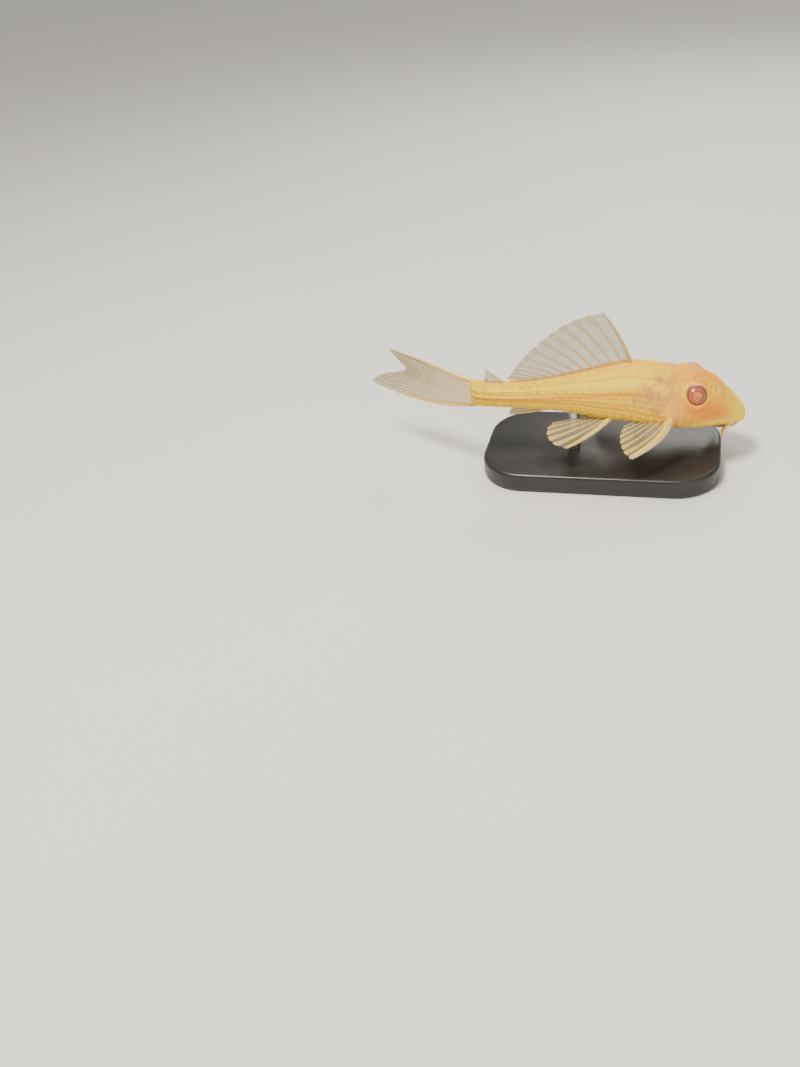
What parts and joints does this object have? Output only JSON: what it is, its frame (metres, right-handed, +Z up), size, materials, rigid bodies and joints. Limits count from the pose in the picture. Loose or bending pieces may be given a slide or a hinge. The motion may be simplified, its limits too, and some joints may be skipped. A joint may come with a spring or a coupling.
{
  "type": "albino sailfin pleco on a display stand",
  "caption": "Still life-size model of a young armoured catfish, swimming with its dorsal fin raised, held by two short rods on a flat base.",
  "frame": {"origin": "centre of the stand's underside plane, midway between the fish's far ends", "axes": "+Z up, +X towards the snout, -Y towards the fish's right side"},
  "size_m": [0.0802, 0.0301, 0.034],
  "materials": {
    "skin": "cream yellow skin over bony plates, moist",
    "lips": "soft, finely bumpy",
    "fin": "thin membrane with cream rays",
    "eye": "clear, wet",
    "base": "satin black",
    "rod": "satin steel"
  },
  "bodies": {
    "root": {"head": "skin", "trunk": "skin", "tail": "skin", "mouth": "lips", "dorsal_fin": "fin", "adipose_fin": "fin", "anal_fin": "fin", "caudal_fin": "fin", "eye_left": "eye", "eye_right": "eye", "barbel_left": "lips", "barbel_right": "lips", "pectoral_fin_left": "fin", "pectoral_fin_right": "fin", "pelvic_fin_left": "fin", "pelvic_fin_right": "fin", "stand_base": "base", "stand_rod_front": "rod", "stand_rod_rear": "rod"}
  },
  "joints": []
}
